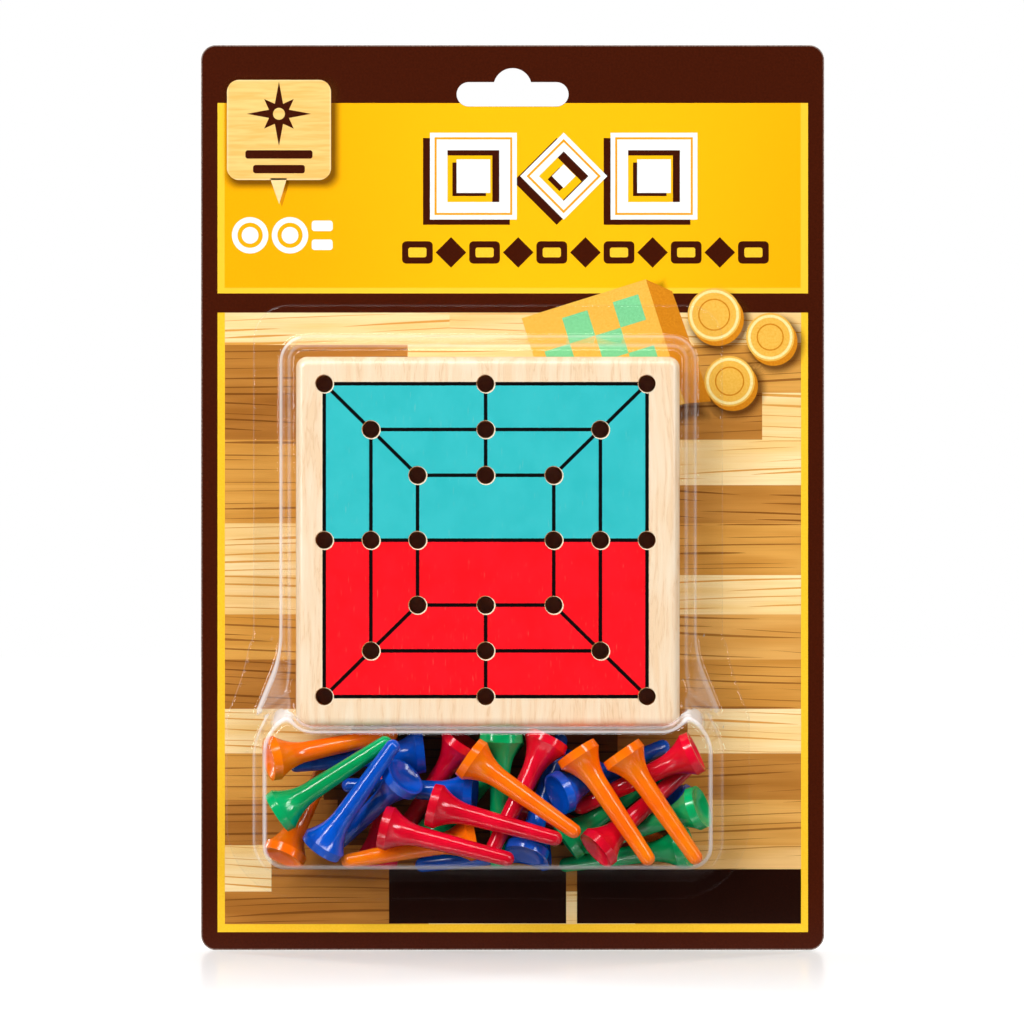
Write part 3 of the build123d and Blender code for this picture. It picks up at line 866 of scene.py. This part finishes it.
# ---------------------------------------------------------------- blister
BLISTER_X = -7.0
FILM = 0.4
VISIBLE_FILM = FILM - 0.06  # the visible sheet's thickness
DRAFT = math.tan(math.radians(8.0))
CAVITY_DEPTH = 21.0
CAVITY_HALF = 56.0
CAVITY_TOP = -72.4
BOARD_BOTTOM = BOARD_LOW.z
TRAY_DEPTH = 28.8
TRAY_HALF = 62.6
LEDGE_Z = BOARD_BOTTOM - DRAFT * (TRAY_DEPTH - CAVITY_DEPTH)
TRAY_FLOOR = LEDGE_Z - 37.9
SHOULDER_END = LEDGE_Z + 3.6  # a shoulder's outer end, at the card
SHOULDER_SLOPE = 0.68
SHOULDER_TWIST = 0.01  # lowers a shoulder's inner front edge, per mm of depth and mm inward
GUSSET_TOP = SHOULDER_END + 18.7
GUSSET_TIP = GUSSET_TOP - 11.3  # where it runs out, on the cavity's front edge
GUSSET_INNER = 54.2  # its hidden corner, inside the cavity
CAVITY_FOOT = CAVITY_HALF + DRAFT * CAVITY_DEPTH  # the walls' feet, at the card
TRAY_FOOT = TRAY_HALF + DRAFT * TRAY_DEPTH
TRAY_FLOOR_FOOT = TRAY_FLOOR - DRAFT * TRAY_DEPTH
CAVITY_CORNER = 4.0  # corner radii at the front, which grow towards the card
TRAY_CORNER = 6.0
FRONT_BEND = 2.6  # the radius of the bends round the fronts
RECESS_HALF = 52.3  # the tray is cut back above the ledge, to leave the board's place
RECESS_CORNER = 8.0
RECESS_BEND = 1.3
FLANGE_SIDE = 8.0  # how far the flange reaches past the walls' feet
FLANGE_FOOT = 7.2
FLANGE_TOP = 9.2
NET_STEP = 0.9


def rounded(a, b, radius):
    """Inside both a and b, with the edge between them rounded."""
    a, b = a + radius, b + radius
    return np.minimum(np.maximum(a, b), 0) + np.hypot(np.maximum(a, 0), np.maximum(b, 0)) - radius


def joined(a, b, soft):
    """Inside a or b, with the crease between them filled."""
    share = np.clip(0.5 + 0.5 * (b - a) / soft, 0, 1)
    return b + (a - b) * share - soft * share * (1 - share)


def plane_through(points, inside):
    """A half space through three points that holds the point inside."""
    a, b, c = (np.array(p, float) for p in points)
    normal = np.cross(b - a, c - a)
    normal /= np.linalg.norm(normal)
    if np.dot(np.array(inside, float) - a, normal) > 0:
        normal = -normal
    return lambda x, d, z: (x - a[0]) * normal[0] + (d - a[1]) * normal[1] + (z - a[2]) * normal[2]


# A gusset is a solid with four corners that stands on the card. Its side on the card isn't needed.
gusset_corners = [(CAVITY_FOOT, 0, GUSSET_TOP), (TRAY_FOOT, 0, SHOULDER_END),
                  (CAVITY_HALF, CAVITY_DEPTH, GUSSET_TIP), (GUSSET_INNER, 0, SHOULDER_END)]
gusset_middle = np.mean(np.array(gusset_corners, float), axis=0)
gusset_planes = [plane_through([gusset_corners[k] for k in face], gusset_middle)
                 for face in ((0, 1, 2), (1, 2, 3), (0, 2, 3))]


def blister_form(x, depth, z):
    """Distance outside the blister's outer skin, for x from its centre line, depth before the card, and z."""
    side = np.abs(x)
    grow = DRAFT * (CAVITY_DEPTH - depth)
    top, low = CAVITY_TOP + grow, BOARD_BOTTOM - 12.0  # its lower end lies within the tray
    radius = np.maximum(CAVITY_CORNER + grow, 1.0)
    wall = rounded(side - (CAVITY_HALF + grow), np.abs(z - (top + low) / 2) - (top - low) / 2, radius)
    cavity = rounded(wall, depth - CAVITY_DEPTH, FRONT_BEND)
    grow = DRAFT * (TRAY_DEPTH - depth)
    radius = np.maximum(TRAY_CORNER + grow, 1.0)
    wall = rounded(side - (TRAY_HALF + grow), TRAY_FLOOR - grow - z, radius)
    slope = (z - SHOULDER_END - SHOULDER_SLOPE * (TRAY_FOOT - side)) / math.hypot(1, SHOULDER_SLOPE)
    slope = slope + DRAFT * depth + SHOULDER_TWIST * depth * np.clip(TRAY_HALF - side, 0, 8)
    wall = rounded(wall, slope, radius)
    tray = rounded(wall, depth - TRAY_DEPTH, FRONT_BEND)
    grow = DRAFT * (depth - CAVITY_DEPTH)
    cut = rounded(side - CAVITY_HALF - grow, np.abs(z - BOARD_Z) - RECESS_HALF - grow, RECESS_CORNER)
    tray = rounded(tray, -np.maximum(cut, CAVITY_DEPTH - depth), RECESS_BEND)
    gusset = np.maximum.reduce([plane(side, depth, z) for plane in gusset_planes])
    form = joined(cavity, tray, 1.8)
    form = joined(form, gusset, 2.4)
    return joined(form, depth - FILM, 2.2)


def flange_form(x, z):
    """Distance outside the sheet's outline, seen from the front."""
    side = np.abs(x)
    low_half, high_half = TRAY_FOOT + FLANGE_SIDE, CAVITY_FOOT + FLANGE_SIDE
    low_z, high_z = TRAY_FLOOR_FOOT - FLANGE_FOOT, CAVITY_TOP + DRAFT * CAVITY_DEPTH + FLANGE_TOP
    narrow = rounded(side - high_half, z - high_z, 10.0)
    step, rise = low_half - high_half, GUSSET_TOP - SHOULDER_END
    slope = ((side - low_half) * rise + (z - SHOULDER_END) * step) / math.hypot(step, rise)
    wide = rounded(side - low_half, low_z - z, 22.0)
    wide = np.maximum(np.maximum(wide, slope), z - GUSSET_TOP)
    upper = np.maximum(narrow, low_z + 30 - z)  # it ends inside the wide part
    return joined(wide, upper, 6.0)


def surface_net(form, low, high, step):
    """A quad mesh of the surface where form is 0: one point in each cell that it crosses."""
    axes = [np.arange(a, b + step, step) for a, b in zip(low, high)]
    inside = form(*np.meshgrid(*axes, indexing="ij")) < 0
    corners = [inside[i:inside.shape[0] - 1 + i, j:inside.shape[1] - 1 + j, k:inside.shape[2] - 1 + k]
               for i in (0, 1) for j in (0, 1) for k in (0, 1)]
    count = sum(c.astype(np.int8) for c in corners)
    crossed = (count > 0) & (count < 8)
    index = np.full(crossed.shape, -1, np.int64)
    index[crossed] = np.arange(crossed.sum())
    cells = np.argwhere(crossed)
    points = np.stack([axes[k][cells[:, k]] + step / 2 for k in range(3)], axis=1)
    quads = []
    for axis in range(3):
        b, c = (axis + 1) % 3, (axis + 2) % 3
        first = np.moveaxis(inside, (axis, b, c), (0, 1, 2))
        cell = np.moveaxis(index, (axis, b, c), (0, 1, 2))
        changed = first[:-1, 1:-1, 1:-1] != first[1:, 1:-1, 1:-1]
        i, j, k = np.nonzero(changed)
        ring = np.stack([cell[i, j, k], cell[i, j + 1, k], cell[i, j + 1, k + 1], cell[i, j, k + 1]], axis=1)
        turned = ~first[:-1, 1:-1, 1:-1][i, j, k]
        ring[turned] = ring[turned][:, ::-1]
        quads.append(ring)
    return points, np.concatenate(quads)


def settle_on(form, points, rounds=6, reach=0.02):
    """Moves points along the slope of form until they lie where it is 0."""
    for _ in range(rounds):
        value = form(*points.T)
        slope = np.stack([(form(*(points + offset).T) - form(*(points - offset).T)) / (2 * reach)
                          for offset in np.eye(3) * reach], axis=1)
        size = np.maximum(np.sum(slope**2, axis=1), 0.05)
        points = points - np.clip(value / size, -0.5, 0.5)[:, None] * slope
    return points


def blister_mesh(material):
    """The film: the form's surface, cut off at the flange's outline, with its thickness laid outside."""
    low = (-(TRAY_FOOT + 9), -0.5, TRAY_FLOOR_FOOT - 8.5)
    high = (TRAY_FOOT + 9, TRAY_DEPTH + 1, CAVITY_TOP + DRAFT * CAVITY_DEPTH + 11)
    points, quads = surface_net(blister_form, low, high, NET_STEP)
    points = settle_on(blister_form, points)
    centres = points[quads].mean(axis=1)
    quads = quads[flange_form(centres[:, 0], centres[:, 2]) < 0]
    edges = np.sort(np.stack([quads, np.roll(quads, -1, axis=1)], axis=2).reshape(-1, 2), axis=1)
    edges, uses = np.unique(edges, axis=0, return_counts=True)
    rim = np.unique(edges[uses == 1])
    for _ in range(4):  # the rim's points move onto the outline
        x, z = points[rim, 0], points[rim, 2]
        value = flange_form(x, z)
        slope_x = (flange_form(x + 0.05, z) - flange_form(x - 0.05, z)) / 0.1
        slope_z = (flange_form(x, z + 0.05) - flange_form(x, z - 0.05)) / 0.1
        points[rim, 0] -= value * slope_x
        points[rim, 2] -= value * slope_z
    points[:, 0] += BLISTER_X
    used, quads = np.unique(quads, return_inverse=True)
    faces = quads.reshape(-1, 4).tolist()
    film = mesh_object("blister_film", points[used].tolist(), faces, [material], smooth=True)
    thick = film.modifiers.new("thickness", "SOLIDIFY")
    thick.thickness = VISIBLE_FILM * MM
    thick.offset = -1
    return film


FACE_MIRROR = 0.012  # how much the film mirrors head on, and what a glancing view adds
GLANCE_MIRROR = 0.4


def film_material():
    """Clear thermoformed sheet: see-through head on, mirror-like where it turns away, with painted highlights
    as whitened lines along its bends and painted light as whitening on the shoulders where they face up."""
    material = new_material("blister_film")
    g = Graph(material.node_tree)
    x, y, z = g.point()
    depth = g.times(y, -1)
    facing = g.node("ShaderNodeLayerWeight", {"Blend": 0.5}).outputs["Facing"]
    ray = g.node("ShaderNodeLightPath")
    unseen = g.larger(ray.outputs["Is Shadow Ray"], ray.outputs["Is Diffuse Ray"])
    seen = g.minus(1.0, unseen)

    # The mirror is stronger at a glance, and weaker on the flat flange and on what faces down.
    formed = g.ramp(depth, 0.35, 0.8, 0.15, 1.0)
    mirror = g.times(g.math("MULTIPLY_ADD", g.math("POWER", facing, 5.0), GLANCE_MIRROR, FACE_MIRROR), formed)
    way = g.node("ShaderNodeSeparateXYZ", {0: g.node("ShaderNodeTexCoord").outputs["Normal"]})
    down = g.times(way.outputs[2], -1)
    mirror = g.times(mirror, g.ramp(down, 0.1, 0.5, 1.0, 0.1))
    mirror = g.times(mirror, seen)

    # Painted highlights: bends are whitened where they turn from a wall to a level face, at the card and at
    # the front, most on the walls that face left.
    level = g.absolute(way.outputs[1])
    bend_highlight = g.times(g.ramp(level, 0.2, 0.34), g.ramp(level, 0.85, 0.6))
    bend_highlight = g.times(bend_highlight, g.ramp(depth, 0.42, 0.8))
    left = g.ramp(way.outputs[0], -0.08, -0.35, 0.3, 1.0)
    side = g.larger(left, g.ramp(way.outputs[0], 0.08, 0.35, 0.3, 0.4))
    foot = g.times(side, g.ramp(z, SHOULDER_END - 8, SHOULDER_END, 0.2, 0.5))
    foot = g.times(foot, g.ramp(down, 0.4, 0.8, 1.0, 0.0))
    front = g.ramp(depth, CAVITY_DEPTH, CAVITY_DEPTH + 2, 0.1, 0.3)
    bend_highlight = g.times(bend_highlight, g.mix(g.ramp(depth, 5.0, 3.0), front, foot))

    # Painted light: so is the sheet that was pulled over the shoulders when formed, where it faces up and the
    # light from above falls.
    painted_shoulder_light = g.times(g.ramp(z, GUSSET_TOP, SHOULDER_END), g.ramp(level, 0.7, 0.4))
    painted_shoulder_light = g.times(painted_shoulder_light, g.ramp(way.outputs[2], 0.55, 0.75))
    painted_shoulder_light = g.times(painted_shoulder_light, g.ramp(z, SHOULDER_END - 16, SHOULDER_END - 8))
    out = g.absolute(g.minus(x, BLISTER_X))
    painted_shoulder_light = g.times(painted_shoulder_light, g.ramp(out, CAVITY_HALF - 3, CAVITY_HALF + 1, 0.08, 0.5))
    # A faint real haze at a glance, plus the painted highlights and painted light above.
    haze_and_painted_light = g.math("MULTIPLY_ADD", g.times(g.math("POWER", facing, 3.0), formed), 0.02, painted_shoulder_light)
    haze_and_painted_light = g.times(g.plus(bend_highlight, haze_and_painted_light), seen)

    ripple = g.bump(g.noise(g.vector(x, y, z), 0.05, 2, 0.5), 0.4, 0.3)
    clear = g.node("ShaderNodeBsdfTransparent", {"Color": (0.99, 0.99, 0.992, 1)})
    gloss = g.node("ShaderNodeBsdfGlossy", {"Color": (1, 1, 1, 1), "Roughness": 0.04, "Normal": ripple})
    haze_and_painted_light_shader = g.node("ShaderNodeBsdfDiffuse", {"Color": (0.95, 0.94, 0.95, 1)})
    body = g.node("ShaderNodeMixShader", {0: haze_and_painted_light, 1: clear.outputs[0], 2: haze_and_painted_light_shader.outputs[0]})
    g.output(g.node("ShaderNodeMixShader", {0: mirror, 1: body.outputs[0], 2: gloss.outputs[0]}).outputs[0])
    return material


film = blister_mesh(film_material())
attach(film, "blister")
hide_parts("blister")
